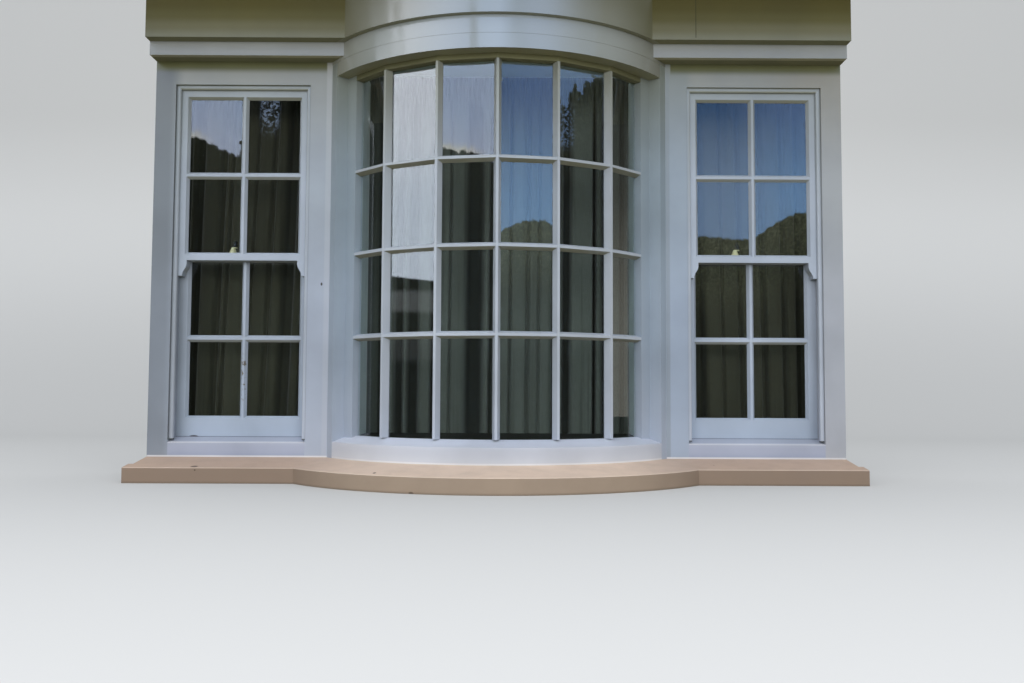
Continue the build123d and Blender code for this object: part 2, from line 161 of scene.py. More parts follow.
# Brush marks: noise drawn out along the stroke, round the bow where Curved is 1. Height is fine
# ridges plus soft waves of old coats, and Patch is a slow change of tone along the board.
bow_centre_y = 0.484
bow_radius = 0.835
brush_marks, given, result = new_group(
    "brush_marks",
    {"Vector": "Vector", "Stroke": "Vector", "Curved": "Float"},
    {"Height": "Float", "Patch": "Float"},
)
plan = split(brush_marks, given["Vector"])
ahead = do_math(brush_marks, "SUBTRACT", bow_centre_y, plan["Y"])
round_angle = do_math(brush_marks, "ARCTAN2", plan["X"], ahead)
away = do_math(brush_marks, "MULTIPLY_ADD", plan["X"], plan["X"], times(brush_marks, ahead, ahead))
wrapped = add_node(
    brush_marks,
    "ShaderNodeCombineXYZ",
    X=times(brush_marks, round_angle, bow_radius),
    Y=do_math(brush_marks, "SQRT", away),
    Z=plan["Z"],
)
laid = add_node(brush_marks, "ShaderNodeMix", data_type="VECTOR")
feed(brush_marks, laid.inputs[0], given["Curved"])
feed(brush_marks, laid.inputs[4], given["Vector"])
feed(brush_marks, laid.inputs[5], wrapped.outputs[0])
drawn_out = on_vectors(brush_marks, "MULTIPLY", laid.outputs[1], given["Stroke"])[0]
ridge_share = times(brush_marks, noise(brush_marks, drawn_out, 1.0, 3.0), 0.4)
wave_share = times(brush_marks, noise(brush_marks, laid.outputs[1], 14.0, 2.0), 0.6)
feed(brush_marks, result["Height"], do_math(brush_marks, "ADD", ridge_share, wave_share))
feed(brush_marks, result["Patch"], noise(brush_marks, laid.outputs[1], 3.2, 4.0))

# Dust and painted shade: dust lies as specks on faces that look up, and painted shade lies as a
# soft olive film on faces that look down.
dust_and_underside_shade, given, result = new_group(
    "dust_and_underside_shade",
    {"Vector": "Vector", "Specks": "Float", "Film": "Float"},
    {"Speck": "Float", "Film": "Float"},
)
upward = split(dust_and_underside_shade, dust_and_underside_shade.nodes.new("ShaderNodeNewGeometry").outputs["Normal"])["Z"]
dots = add_node(dust_and_underside_shade, "ShaderNodeTexVoronoi", Vector=given["Vector"], Scale=55.0, Randomness=1.0)
dot_edge = times(dust_and_underside_shade, spread(dust_and_underside_shade, noise(dust_and_underside_shade, given["Vector"], 21.0, 1.0), 0.55, 0.8), 0.16)
near_dot = do_math(dust_and_underside_shade, "LESS_THAN", dots.outputs["Distance"], dot_edge)
looks_up = spread(dust_and_underside_shade, upward, 0.15, 0.6)
speck = times(dust_and_underside_shade, near_dot, do_math(dust_and_underside_shade, "ADD", looks_up, 0.10), given["Specks"])
feed(dust_and_underside_shade, result["Speck"], speck)
underside_shade_patch = spread(dust_and_underside_shade, noise(dust_and_underside_shade, given["Vector"], 7.0, 5.0), 0.25, 0.75, 0.7, 1.0)
looks_down = spread(dust_and_underside_shade, upward, -0.2, -0.7)
feed(dust_and_underside_shade, result["Film"], times(dust_and_underside_shade, underside_shade_patch, looks_down, given["Film"]))

# Paint finish: each board's tone drifts a little, dust specks darken it, and the painted shade on
# undersides turns it to the colour Under and dulls it
speck_brown = (0.05, 0.042, 0.03)
paint_finish, given, result = new_group(
    "paint_finish",
    {
        "Colour": "Color", "Under": "Color", "Patch": "Float", "Film": "Float", "Speck": "Float",
        "Uneven": "Float", "Roughness": "Float",
    },
    {"Colour": "Color", "Roughness": "Float"},
)
least = do_math(paint_finish, "SUBTRACT", 1.0, given["Uneven"])
most = do_math(paint_finish, "ADD", 1.0, given["Uneven"])
drift = spread(paint_finish, given["Patch"], 0.25, 0.75, least, most)
drifted = add_node(
    paint_finish, "ShaderNodeVectorMath", operation="SCALE", Vector=given["Colour"], Scale=drift
)
underside_shaded = blend_colour(paint_finish, given["Film"], drifted.outputs[0], given["Under"])
feed(paint_finish, result["Colour"], blend_colour(paint_finish, given["Speck"], underside_shaded, speck_brown))
glossiest = do_math(paint_finish, "SUBTRACT", given["Roughness"], 0.04)
dullest = do_math(paint_finish, "ADD", given["Roughness"], 0.06)
rough = spread(paint_finish, given["Patch"], 0.3, 0.7, glossiest, dullest)
underside_rough = times(paint_finish, given["Film"], 0.35)
feed(paint_finish, result["Roughness"], do_math(paint_finish, "ADD", rough, underside_rough))

# Joint: a thin mask where a coordinate lies within a half width of a place, with soft sides
joint, given, result = new_group(
    "joint", {"Value": "Float", "Place": "Float", "Half Width": "Float"}, {"Mask": "Float"}
)
off = do_math(joint, "ABSOLUTE", do_math(joint, "SUBTRACT", given["Value"], given["Place"]))
half_widths_off = do_math(joint, "DIVIDE", off, given["Half Width"])
feed(joint, result["Mask"], spread(joint, half_widths_off, 0.6, 1.2, 1.0, 0.0))

# Spot: the mask of one small mark, 1 at its place and fading to 0 at its size along each axis
spot, given, result = new_group(
    "spot", {"Vector": "Vector", "Place": "Vector", "Size": "Vector"}, {"Mask": "Float"}
)
from_place = on_vectors(spot, "SUBTRACT", given["Vector"], given["Place"])[0]
sizes_off = on_vectors(spot, "DIVIDE", from_place, given["Size"])[0]
reach = on_vectors(spot, "LENGTH", sizes_off)["Value"]
feed(spot, result["Mask"], spread(spot, reach, 0.6, 1.1, 1.0, 0.0))


def line_at(tree, value, place, half_width):
    """Mask of a thin line where a coordinate passes a place."""
    return use_group(tree, joint, Value=value, Place=place, Half_Width=half_width)["Mask"]


def spot_at(tree, vector, place, size):
    """Mask of one small mark."""
    return use_group(tree, spot, Vector=vector, Place=place, Size=size)["Mask"]


def new_material(name):
    """Material with a plain shader: returns it, its nodes and that shader."""
    material = bpy.data.materials.new(name)
    material.use_nodes = True
    return material, material.node_tree, material.node_tree.nodes["Principled BSDF"]


def start_paint(name, stroke, specks=0.7, underside_shade=0.8, curved=0.0):
    """Paint material up to its colour: returns the pieces that a section needs to finish it."""
    material, tree, _ = new_material(name)
    place = tree.nodes.new("ShaderNodeTexCoord").outputs["Object"]
    parts = split(tree, place)
    marks = use_group(tree, brush_marks, Vector=place, Stroke=stroke, Curved=curved)
    dust_and_shade = use_group(tree, dust_and_underside_shade, Vector=place, Specks=specks, Film=underside_shade)
    return material, tree, place, parts, marks, dust_and_shade


def tone_by(tree, value, low, high, *tones):
    """Colour that eases through evenly spaced tones while a value goes from low to high."""
    made = tree.nodes.new("ShaderNodeValToRGB")
    made.color_ramp.interpolation = "EASE"
    marks_on = made.color_ramp.elements
    while len(marks_on) < len(tones):
        marks_on.new(0.5)
    for number, (mark, tone) in enumerate(zip(marks_on, tones)):
        mark.position = number / (len(tones) - 1)
        mark.color = (*tone, 1.0)
    share = do_math(tree, "DIVIDE", do_math(tree, "SUBTRACT", value, low), high - low)
    feed(tree, made.inputs[0], share)
    return made.outputs["Color"]


# Under is the colour that painted shade gives faces that look down
def finish_paint(
    tree, colour, marks, dust_and_shade, roughness=0.40, depth=0.0004, uneven=0.10, under=(0.255, 0.245, 0.145),
    shine=0.5,
):
    """Gloss paint from a colour, with dust specks, painted underside shade and lifting brush marks."""
    finished = use_group(
        tree, paint_finish, Colour=colour, Under=under, Patch=marks["Patch"], Film=dust_and_shade["Film"],
        Speck=dust_and_shade["Speck"], Uneven=uneven, Roughness=roughness,
    )
    shader = tree.nodes["Principled BSDF"]
    shader.inputs["Specular IOR Level"].default_value = shine
    feed(tree, shader.inputs["Base Color"], finished["Colour"])
    feed(tree, shader.inputs["Roughness"], finished["Roughness"])
    bump = add_node(tree, "ShaderNodeBump", Strength=1.0, Distance=depth, Height=marks["Height"])
    feed(tree, shader.inputs["Normal"], bump.outputs["Normal"])
    return shader


def dress(material, *nodes):
    """Give CAD nodes a material in place of the plain one."""
    for name in nodes:
        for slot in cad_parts[name].material_slots:
            slot.material = material


# Strokes are scales of the noise over X, Y and Z, small along the stroke and large across it
strokes_up = (420.0, 420.0, 16.0)
strokes_along = (16.0, 420.0, 420.0)
sill_line = 0.086
flank_in = 0.770
flank_out = 1.318
head_line_z = 1.599
bead_foot = 0.154
left_edge_x = -0.692
right_edge_x = 0.689
crack_half = 0.0016
casing_paint, tree, place, parts, marks, dust_and_shade = start_paint("casing_paint", strokes_up)
# Painted shade: the white darkens to olive towards the top of each board, below the head
toned = tone_by(
    tree, parts["Z"], 0.1, 1.69,
    (0.355, 0.395, 0.475), (0.335, 0.375, 0.45), (0.30, 0.335, 0.375), (0.235, 0.24, 0.215),
)
# Painted shade greys the board furthest left, most of all towards its top
left_side_shade = spread(tree, parts["X"], -1.345, -1.275, 1.0, 0.0)
left_side_shade = times(tree, left_side_shade, spread(tree, parts["Z"], 0.3, 1.5, 0.52, 0.80))
toned = blend_colour(tree, left_side_shade, toned, (0.097, 0.108, 0.110))
# Painted shade makes the board right of the bow darker and greener; the furthest right is warmer
right_board = times(tree, spread(tree, parts["X"], 0.62, 0.69), spread(tree, parts["X"], 0.80, 0.76))
toned = blend_colour(tree, right_board, toned, (0.87, 0.915, 0.945), how="MULTIPLY")
warmer_right = spread(tree, parts["X"], 1.0, 1.3)
toned = blend_colour(tree, warmer_right, toned, (1.03, 0.965, 0.89), how="MULTIPLY")
# Painted shade darkens the top of each board to olive under the band
across = do_math(tree, "ABSOLUTE", parts["X"])
under_band_shade = times(tree, spread(tree, parts["Z"], 1.643, 1.672, 0.0, 0.92), spread(tree, across, 0.700, 0.705))
toned = blend_colour(tree, under_band_shade, toned, (0.092, 0.094, 0.035))
# The rounded edge beside the bow catches light on the left and is shaded on the right
left_edge = line_at(tree, parts["X"], left_edge_x, 0.012)
right_edge = line_at(tree, parts["X"], right_edge_x, 0.009)
toned = blend_colour(tree, times(tree, left_edge, 0.15), toned, (0.58, 0.58, 0.58))
toned = blend_colour(tree, times(tree, right_edge, 0.45), toned, (0.19, 0.21, 0.21))
# A hairline of dirt follows the joint between board and bead on three sides
inner_line = line_at(tree, across, flank_in, crack_half)
outer_line = line_at(tree, across, flank_out, crack_half)
side_lines = times(
    tree,
    largest(tree, inner_line, outer_line),
    do_math(tree, "LESS_THAN", parts["Z"], head_line_z),
    do_math(tree, "GREATER_THAN", parts["Z"], bead_foot),
)
over_window = times(
    tree, do_math(tree, "GREATER_THAN", across, flank_in), do_math(tree, "LESS_THAN", across, flank_out)
)
head_line = times(tree, line_at(tree, parts["Z"], head_line_z, crack_half), over_window)
line_strength = spread(tree, parts["X"], -0.9, 0.9, 0.50, 0.22)
lines = times(tree, largest(tree, side_lines, head_line), line_strength)
toned = blend_colour(tree, lines, toned, (0.06, 0.065, 0.055))


def lay_caulk(tree, parts, tone, share=0.8, white=(0.66, 0.65, 0.66)):
    """A bead of white caulk over a tone, where a board stands on the outer sill."""
    caulk = line_at(tree, parts["Z"], sill_line + 0.002, 0.0045)
    return blend_colour(tree, times(tree, caulk, share), tone, white)


toned = lay_caulk(tree, parts, toned)
# Two knocks on the board left of the bow: a chip at half height and a black hole at the foot
chip = spot_at(tree, place, (-0.712, 0.0, 0.782), (0.0045, 0.05, 0.0075))
hole = spot_at(tree, place, (-0.779, 0.0, 0.088), (0.0055, 0.05, 0.0055))
toned = blend_colour(tree, largest(tree, chip, hole), toned, (0.035, 0.03, 0.025))
finish_paint(tree, toned, marks, dust_and_shade)
dress(casing_paint, "casing_left", "casing_right", "sash_box_left", "sash_box_right")

# Staff beads: small rounded softwood strips pinned in front of the sashes. They are painted
# with the casing, and the paint has cracked along the joint behind them.
bead_crack_half = 0.0012
bead_paint, tree, place, parts, marks, dust_and_shade = start_paint("bead_paint", (500.0, 500.0, 14.0), underside_shade=0.6)
# Painted shade: the beads darken towards their tops
bead_tone = tone_by(tree, parts["Z"], 0.1, 1.60, (0.43, 0.47, 0.55), (0.39, 0.43, 0.49), (0.29, 0.32, 0.33))
across = do_math(tree, "ABSOLUTE", parts["X"])
inner_line = line_at(tree, across, flank_in, bead_crack_half)
outer_line = line_at(tree, across, flank_out, bead_crack_half)
head_line = line_at(tree, parts["Z"], head_line_z, crack_half)
line_strength = spread(tree, parts["X"], -0.9, 0.9, 0.55, 0.25)
lines = times(tree, largest(tree, inner_line, outer_line, head_line), line_strength)
# Each foot is near black, and painted shade greys the furthest left bead
foot = spread(tree, parts["Z"], bead_foot + 0.006, bead_foot + 0.002)
left_side_shade = spread(tree, parts["X"], -1.36, -1.26, 0.70, 0.0)
bead_tone = blend_colour(tree, left_side_shade, bead_tone, (0.16, 0.18, 0.185))
bead_tone = blend_colour(tree, largest(tree, lines, foot), bead_tone, (0.05, 0.055, 0.05))
finish_paint(tree, bead_tone, marks, dust_and_shade)
dress(bead_paint, "staff_bead_left", "staff_bead_right")

# Hung sashes: slim softwood frames with thin glazing bars, morticed at the corners, with the
# glass held by a bevel of linseed putty outside. They are the cleanest and coolest white.
sash_foot = 0.162
sash_paint, tree, place, parts, marks, dust_and_shade = start_paint("sash_paint", strokes_up, underside_shade=0.6)
# Painted shade: the sashes darken towards their tops
cool = tone_by(
    tree, parts["Z"], 0.16, 1.62,
    (0.338, 0.395, 0.485), (0.37, 0.42, 0.50), (0.35, 0.39, 0.45), (0.27, 0.295, 0.30),
)
# Painted shade greys the left side of the left window
left_side_shade = spread(tree, parts["X"], -1.36, -1.22, 0.55, 0.0)
cool = blend_colour(tree, left_side_shade, cool, (0.17, 0.195, 0.205))
foot_line = line_at(tree, parts["Z"], sash_foot, 0.0024)
cool = blend_colour(tree, times(tree, foot_line, 0.8), cool, (0.05, 0.055, 0.06))
# Wet dirt has stayed in one place along the foot of the left one
wet = spot_at(tree, place, (-1.240, 0.07, 0.1635), (0.020, 0.05, 0.0055))
cool = blend_colour(tree, times(tree, wet, 0.9), cool, (0.035, 0.025, 0.02))
# Flaked paint on the upright bar of the left lower sash shows grey wood and dark cracks
flake = times(
    tree,
    spread(tree, noise(tree, place, 95.0, 3.0), 0.57, 0.63),
    times(tree, line_at(tree, parts["X"], -1.044, 0.011), line_at(tree, parts["Z"], 0.40, 0.10)),
)
cool = blend_colour(tree, flake, cool, (0.13, 0.11, 0.08))
finish_paint(tree, cool, marks, dust_and_shade)
dress(sash_paint, "upper_sash_left", "upper_sash_right", "lower_sash_left", "lower_sash_right")

# Timber sills under the sashes: one sawn and planed length each, upright at the front and
# sloping back under the sash, where dust collects along the joint.
sill_arris_z = 0.1445
sill_timber, tree, place, parts, marks, dust_and_shade = start_paint("timber_sill_paint", strokes_along, specks=1.0)
# Painted shade: the front darkens towards its foot
timber_tone = tone_by(
    tree, parts["Z"], 0.09, 0.15, (0.30, 0.335, 0.435), (0.34, 0.37, 0.465), (0.36, 0.39, 0.475)
)
# Painted highlight: a pale line along the front arris
arris = line_at(tree, parts["Z"], sill_arris_z, 0.0030)
timber_tone = blend_colour(tree, times(tree, arris, 0.7), timber_tone, (0.62, 0.63, 0.68))
finish_paint(tree, lay_caulk(tree, parts, timber_tone), marks, dust_and_shade)
dress(sill_timber, "window_sill_left", "window_sill_right")

# Bow frame: end posts, glazing bars on the corners of six flat lights, and transoms scribed
# between them, all in softwood with putty bevels. Strokes run up the posts and bars.
frame_paint, tree, place, parts, marks, dust_and_shade = start_paint("bow_frame_paint", strokes_up, underside_shade=0.85)
# Painted shade: the bow white darkens to olive towards the top
bow_white = tone_by(
    tree, parts["Z"], 0.1, 1.62,
    (0.40, 0.44, 0.52), (0.40, 0.44, 0.50), (0.35, 0.385, 0.43), (0.23, 0.24, 0.205),
)
finish_paint(tree, bow_white, marks, dust_and_shade)
dress(frame_paint, "bow_bars", "bow_transoms")
# Painted shade: the posts are a darker copy of the bow white, olive towards their tops
post_paint, tree, place, parts, marks, dust_and_shade = start_paint("bow_post_paint", strokes_up, underside_shade=0.85)
post_tone = tone_by(
    tree, parts["Z"], 0.1, 1.69,
    (0.345, 0.39, 0.47), (0.29, 0.345, 0.415), (0.245, 0.297, 0.34), (0.185, 0.205, 0.18),
)
finish_paint(tree, post_tone, marks, dust_and_shade)
dress(post_paint, "bow_post_left", "bow_post_right")
# The head rail lies in the shadow of the fascia, painted in as a dark olive shade
head_paint, tree, place, parts, marks, dust_and_shade = start_paint("bow_head_paint", strokes_along, underside_shade=0.95)
head_tone = tone_by(tree, parts["Z"], 1.60, 1.63, (0.115, 0.113, 0.060), (0.095, 0.092, 0.045))
finish_paint(tree, head_tone, marks, dust_and_shade, roughness=0.5, shine=0.25)
dress(head_paint, "bow_head_rail")

# Linings and ceiling: planed softwood boards that close the bow inside, behind the glass. Their
# white is paler and greener than the outside's, and painted shade darkens it towards the top.
inner_paint, tree, place, parts, marks, dust_and_shade = start_paint("inner_paint", strokes_up, underside_shade=0.2)
inner_tone = tone_by(tree, parts["Z"], 0.1, 1.69, (0.55, 0.67, 0.67), (0.50, 0.61, 0.60), (0.44, 0.50, 0.46))
finish_paint(tree, inner_tone, marks, dust_and_shade)
dress(inner_paint, "lining_left", "lining_right", "bow_ceiling")

# Curved rails of the bow: the bottom rail, fascia and band are boards glued up in thin layers
# round a former, and filled and rubbed down. The fascia and band have kept a high gloss.
rail_paint, tree, place, parts, marks, dust_and_shade = start_paint(
    "bow_rail_paint", strokes_along, specks=1.0, curved=1.0
)
# Painted light: the rail is paler and bluer towards its upward slope
rail_tone = tone_by(
    tree, parts["Z"], sill_line, 0.175, (0.56, 0.575, 0.62), (0.52, 0.54, 0.60), (0.60, 0.635, 0.74)
)
rightward = spread(tree, parts["X"], -0.62, -0.25)
rail_tone = blend_colour(tree, rightward, rail_tone, (0.875, 0.89, 0.905), how="MULTIPLY")
rail_tone = lay_caulk(tree, parts, rail_tone, 0.6, (0.70, 0.69, 0.70))
finish_paint(tree, rail_tone, marks, dust_and_shade)
dress(rail_paint, "bow_bottom_rail")
strokes_round = (10.0, 300.0, 300.0)
glossy_roughness = 0.12
fine_depth = 0.00007
band_paint, tree, place, parts, marks, dust_and_shade = start_paint(
    "bow_band_paint", strokes_round, underside_shade=0.95, curved=1.0
)
across = do_math(tree, "ABSOLUTE", parts["X"])
# Painted sky reflection makes the middle paler and bluer; painted shade darkens the ends, most at the right
band_tone = tone_by(
    tree, across, 0.15, 0.68, (0.283, 0.320, 0.348), (0.255, 0.277, 0.270), (0.22, 0.225, 0.19)
)
right_end = spread(tree, parts["X"], 0.30, 0.68, 0.0, 0.30)
band_tone = blend_colour(tree, right_end, band_tone, (0.12, 0.12, 0.10))
finish_paint(
    tree, band_tone, marks, dust_and_shade, glossy_roughness, fine_depth, uneven=0.05, under=(0.31, 0.29, 0.155)
)
dress(band_paint, "bow_fascia", "bow_band")

# Window board: a planed board that fills the bow inside at the height of the bottom rail. It lies
# in the curtains' shade, which is painted into it as a near black tone.
window_board_shade, tree, place, parts, marks, dust_and_shade = start_paint("window_board_shade", (14.0, 260.0, 260.0), underside_shade=0.0)
grain = spread(tree, marks["Height"], 0.35, 0.65)
board_tone = blend_colour(tree, grain, (0.014, 0.014, 0.012), (0.022, 0.021, 0.018))
finish_paint(tree, board_tone, marks, dust_and_shade, roughness=0.6, shine=0.1)
dress(window_board_shade, "window_board")

# Straight bands: plain painted boards nailed over the flanking windows and cut to the bow at
# their inner ends. Painted light makes their undersides a paler cream.
straight_band, tree, place, parts, marks, dust_and_shade = start_paint("band_paint", strokes_along, underside_shade=0.95)
band_tone = tone_by(tree, parts["Z"], 1.69, 1.75, (0.245, 0.256, 0.250), (0.265, 0.276, 0.266))
finish_paint(tree, band_tone, marks, dust_and_shade, roughness=0.5, under=(0.46, 0.42, 0.26))
dress(straight_band, "band_left", "band_right")

# Friezes: wide boards at the head, bent over the bow and straight beside it. They get little
# rain, so their old paint has gone dull, and painted shade takes it from cream at the foot to
# olive towards the top. The beam behind them and the cap over the bow share it.
frieze_foot = 1.749
frieze_top = 1.922
frieze_paint, tree, place, parts, marks, dust_and_shade = start_paint("frieze_paint", strokes_along, underside_shade=0.95)
cream = tone_by(
    tree, parts["Z"], frieze_foot, frieze_top,
    (0.150, 0.153, 0.114), (0.113, 0.108, 0.064), (0.077, 0.070, 0.028), (0.060, 0.052, 0.016),
    (0.053, 0.044, 0.011),
)
# A fine upright crack marks the butt joint between two lengths on the right
butt = line_at(tree, parts["X"], 0.783, 0.0018)
butt = times(tree, butt, do_math(tree, "GREATER_THAN", parts["Z"], frieze_foot + 0.008), 0.7)
cream = blend_colour(tree, butt, cream, (0.02, 0.02, 0.01))
finish_paint(tree, cream, marks, dust_and_shade, roughness=0.6, shine=0.12)
dress(frieze_paint, "frieze_left", "frieze_right", "head_beam", "bow_cap")
# The one over the bow is paler and bluer in its middle, a painted sky reflection
bow_frieze_paint, tree, place, parts, marks, dust_and_shade = start_paint(
    "bow_frieze_paint", strokes_round, underside_shade=0.95, curved=1.0
)
across = do_math(tree, "ABSOLUTE", parts["X"])
frieze_tone = tone_by(
    tree, across, 0.15, 0.68, (0.240, 0.270, 0.288), (0.18, 0.186, 0.158), (0.112, 0.108, 0.064)
)
# Painted shade darkens it to olive at its right end and towards its top away from the middle
right_end = spread(tree, parts["X"], 0.25, 0.60, 0.0, 0.22)
frieze_tone = blend_colour(tree, right_end, frieze_tone, (0.05, 0.055, 0.02))
going_up = spread(tree, parts["Z"], frieze_foot, frieze_top, 0.0, 0.65)
going_up = times(tree, going_up, spread(tree, across, 0.12, 0.42, 0.1, 1.0))
frieze_tone = blend_colour(tree, going_up, frieze_tone, (0.07, 0.065, 0.03))
finish_paint(tree, frieze_tone, marks, dust_and_shade, glossy_roughness, fine_depth, uneven=0.05)
dress(bow_frieze_paint, "bow_frieze")

# Outer sill: cast in one length, rubbed smooth and painted with cream masonry paint. Painted light
# makes its top paler than its front and both paler in the middle; small spots of dirt lie on both.
sill_paint, tree, place, parts, marks, dust_and_shade = start_paint(
    "masonry_paint", (60.0, 60.0, 60.0), specks=0.0, underside_shade=0.8
)
middle = spread(tree, do_math(tree, "ABSOLUTE", parts["X"]), 0.45, 0.85, 1.0, 0.0)
sill_top = blend_colour(tree, middle, (0.462, 0.332, 0.25), (0.655, 0.505, 0.398))
sill_front = blend_colour(tree, middle, (0.249, 0.181, 0.134), (0.332, 0.255, 0.191))
upward = split(tree, tree.nodes.new("ShaderNodeNewGeometry").outputs["Normal"])["Z"]
stands = spread(tree, upward, 0.75, 0.25)
sill_tone = blend_colour(tree, stands, sill_top, sill_front)
stained = spread(tree, noise(tree, place, 9.0, 7.0, Roughness=0.65), 0.35, 0.75, 0.0, 0.22)
sill_tone = blend_colour(tree, stained, sill_tone, (0.22, 0.165, 0.12))
# The paint has worn pale on the arris, and the lower edge is darker
worn = line_at(tree, upward, 0.62, 0.34)
sill_tone = blend_colour(tree, times(tree, worn, 0.35), sill_tone, (0.66, 0.56, 0.48))
low_edge = spread(tree, parts["Z"], 0.010, 0.0)
sill_tone = blend_colour(tree, times(tree, low_edge, 0.6), sill_tone, (0.14, 0.105, 0.07))
# Small spots, two larger smears of dirt and a knock in the lower edge
spots = add_node(tree, "ShaderNodeTexVoronoi", Vector=place, Scale=14.0, Randomness=1.0)
spot_edge = times(tree, spread(tree, noise(tree, place, 4.0, 2.0), 0.54, 0.78), 0.075)
small_spots = do_math(tree, "LESS_THAN", spots.outputs["Distance"], spot_edge)
left_smear = spot_at(tree, place, (-1.150, -0.165, 0.062), (0.016, 0.014, 0.02))
bow_smear = spot_at(tree, place, (-0.427, -0.41, 0.062), (0.007, 0.012, 0.02))
knock = spot_at(tree, place, (-0.288, -0.4945, 0.002), (0.010, 0.03, 0.006))
spotted = largest(tree, small_spots, left_smear, bow_smear, knock)
sill_tone = blend_colour(tree, times(tree, spotted, 0.85), sill_tone, (0.07, 0.045, 0.025))
shader = finish_paint(tree, sill_tone, marks, dust_and_shade, roughness=0.66, depth=0.0005, uneven=0.04)
# Fine grit stands in the masonry paint
smooth_bump = shader.inputs["Normal"].links[0].from_node
grit_bump = add_node(
    tree, "ShaderNodeBump", Strength=0.6, Distance=0.0005, Height=noise(tree, place, 420.0, 3.0),
    Normal=smooth_bump.outputs["Normal"],
)
feed(tree, shader.inputs["Normal"], grit_bump.outputs["Normal"])
dress(sill_paint, "outer_sill")

# Panes: thin drawn window glass, very slightly wavy, set in putty. Lamps shine through it to
# what hangs behind, so it stands aside for shadow rays.
glass_ior = 1.52
pane_glass, tree, shader = new_material("pane_glass")
shader.inputs["Base Color"].default_value = (0.90, 0.95, 0.93, 1.0)
shader.inputs["Transmission Weight"].default_value = 1.0
shader.inputs["IOR"].default_value = glass_ior
place = tree.nodes.new("ShaderNodeTexCoord").outputs["Object"]
smeared = spread(tree, noise(tree, place, 24.0, 4.0), 0.5, 0.85, 0.0, 0.03)
feed(tree, shader.inputs["Roughness"], smeared)
bump = add_node(
    tree, "ShaderNodeBump", Strength=1.0, Distance=0.00014, Height=noise(tree, place, 3.5, 1.0)
)
feed(tree, shader.inputs["Normal"], bump.outputs["Normal"])
clear = tree.nodes.new("ShaderNodeBsdfTransparent")
pick = tree.nodes.new("ShaderNodeMixShader")
feed(tree, pick.inputs[0], tree.nodes.new("ShaderNodeLightPath").outputs["Is Shadow Ray"])
feed(tree, pick.inputs[1], shader.outputs[0])
feed(tree, pick.inputs[2], clear.outputs[0])
feed(tree, tree.nodes["Material Output"].inputs["Surface"], pick.outputs[0])
dress(
    pane_glass, "bow_glass", "upper_glass_left", "upper_glass_right", "lower_glass_left", "lower_glass_right"
)

# Sash fasteners: cast plates screwed to the meeting rails, with a tapered body in cream enamel
# and a black lever knob on it.
knob_foot = 0.9435
fastener_enamel, tree, shader = new_material("fastener_enamel")
place = tree.nodes.new("ShaderNodeTexCoord").outputs["Object"]
wear = noise(tree, place, 160.0, 4.0)
cream_tone = blend_colour(tree, spread(tree, wear, 0.35, 0.7), (0.66, 0.65, 0.42), (0.50, 0.48, 0.29))
black_part = spread(tree, split(tree, place)["Z"], knob_foot, knob_foot + 0.0008)
enamel = blend_colour(tree, black_part, cream_tone, (0.012, 0.012, 0.012))
feed(tree, shader.inputs["Base Color"], enamel)
feed(tree, shader.inputs["Roughness"], spread(tree, wear, 0.3, 0.7, 0.25, 0.45))
dress(fastener_enamel, "sash_fastener_left", "sash_fastener_right")

# Curtain track: a rolled rail in white enamel, carried inside over the windows by short arms
# from the beam. Runners have scuffed it.
track_enamel, tree, shader = new_material("track_enamel")
place = tree.nodes.new("ShaderNodeTexCoord").outputs["Object"]
scuffs = noise(tree, place, 70.0, 5.0)
enamel = blend_colour(tree, spread(tree, scuffs, 0.5, 0.75), (0.62, 0.62, 0.60), (0.50, 0.49, 0.46))
feed(tree, shader.inputs["Base Color"], enamel)
feed(tree, shader.inputs["Roughness"], spread(tree, scuffs, 0.3, 0.7, 0.3, 0.5))
dress(track_enamel, "curtain_track")

# Curtains: heavy grey-green woven cloth, gathered on a tape in front of the track. Broad fronts
# hang nearly flat, and between them the cloth turns back into folds, some narrow and some wide
# and deep. Each fold below is its place across, its width and its share of the full depth.
heading_top = 1.7275
track_foot = 1.690
curtain_foot = 0.0655
heading_y = 0.2462
fold_front = 0.2395
fold_back = 0.2905
full_depth = fold_back - fold_front
pleat_width = 0.021
pleat_depth = 0.0062
cloth_thickness = 0.0014
left_folds = (
    (-1.352, 0.024, 0.8), (-1.306, 0.036, 0.9), (-1.205, 0.026, 0.55), (-1.166, 0.014, 0.4),
    (-1.060, 0.012, 0.3), (-0.985, 0.020, 0.45), (-0.906, 0.048, 0.9), (-0.826, 0.030, 0.8),
    (-0.755, 0.030, 0.8),
)
middle_folds = (
    (-0.625, 0.030, 0.8), (-0.505, 0.028, 0.7), (-0.427, 0.036, 0.75), (-0.366, 0.048, 0.85),
    (-0.280, 0.020, 0.8), (-0.207, 0.011, 0.35), (-0.104, 0.070, 1.0), (-0.030, 0.020, 0.7),
    (0.052, 0.012, 0.4), (0.128, 0.014, 0.35), (0.175, 0.012, 0.3), (0.250, 0.036, 1.0),
    (0.294, 0.034, 0.95), (0.414, 0.014, 0.9), (0.462, 0.030, 0.8), (0.535, 0.022, 0.5),
    (0.612, 0.030, 0.8),
)
right_folds = (
    (0.745, 0.030, 0.8), (0.806, 0.020, 0.7), (0.864, 0.044, 0.9), (0.962, 0.012, 0.35),
    (1.040, 0.018, 0.5), (1.140, 0.024, 0.6), (1.232, 0.022, 0.6), (1.300, 0.030, 0.8),
    (1.356, 0.020, 0.8),
)


def fold_depths(x, folds):
    """Depth of the cloth from 0 at a front to 1 at a full fold. Each fold is a hollow with a flat
    floor: one over one plus the sixth power of the distance from its place in half widths. A
    slow wave keeps the fronts from lying quite flat."""
    hollow = sum(deep / (1.0 + (2.0 * np.abs(x - place) / wide) ** 6) for place, wide, deep in folds)
    return np.clip(hollow, 0, 1) * 0.94 + 0.03 * (1 + np.sin(41.0 * x + 1.3 * np.sin(17.0 * x)))


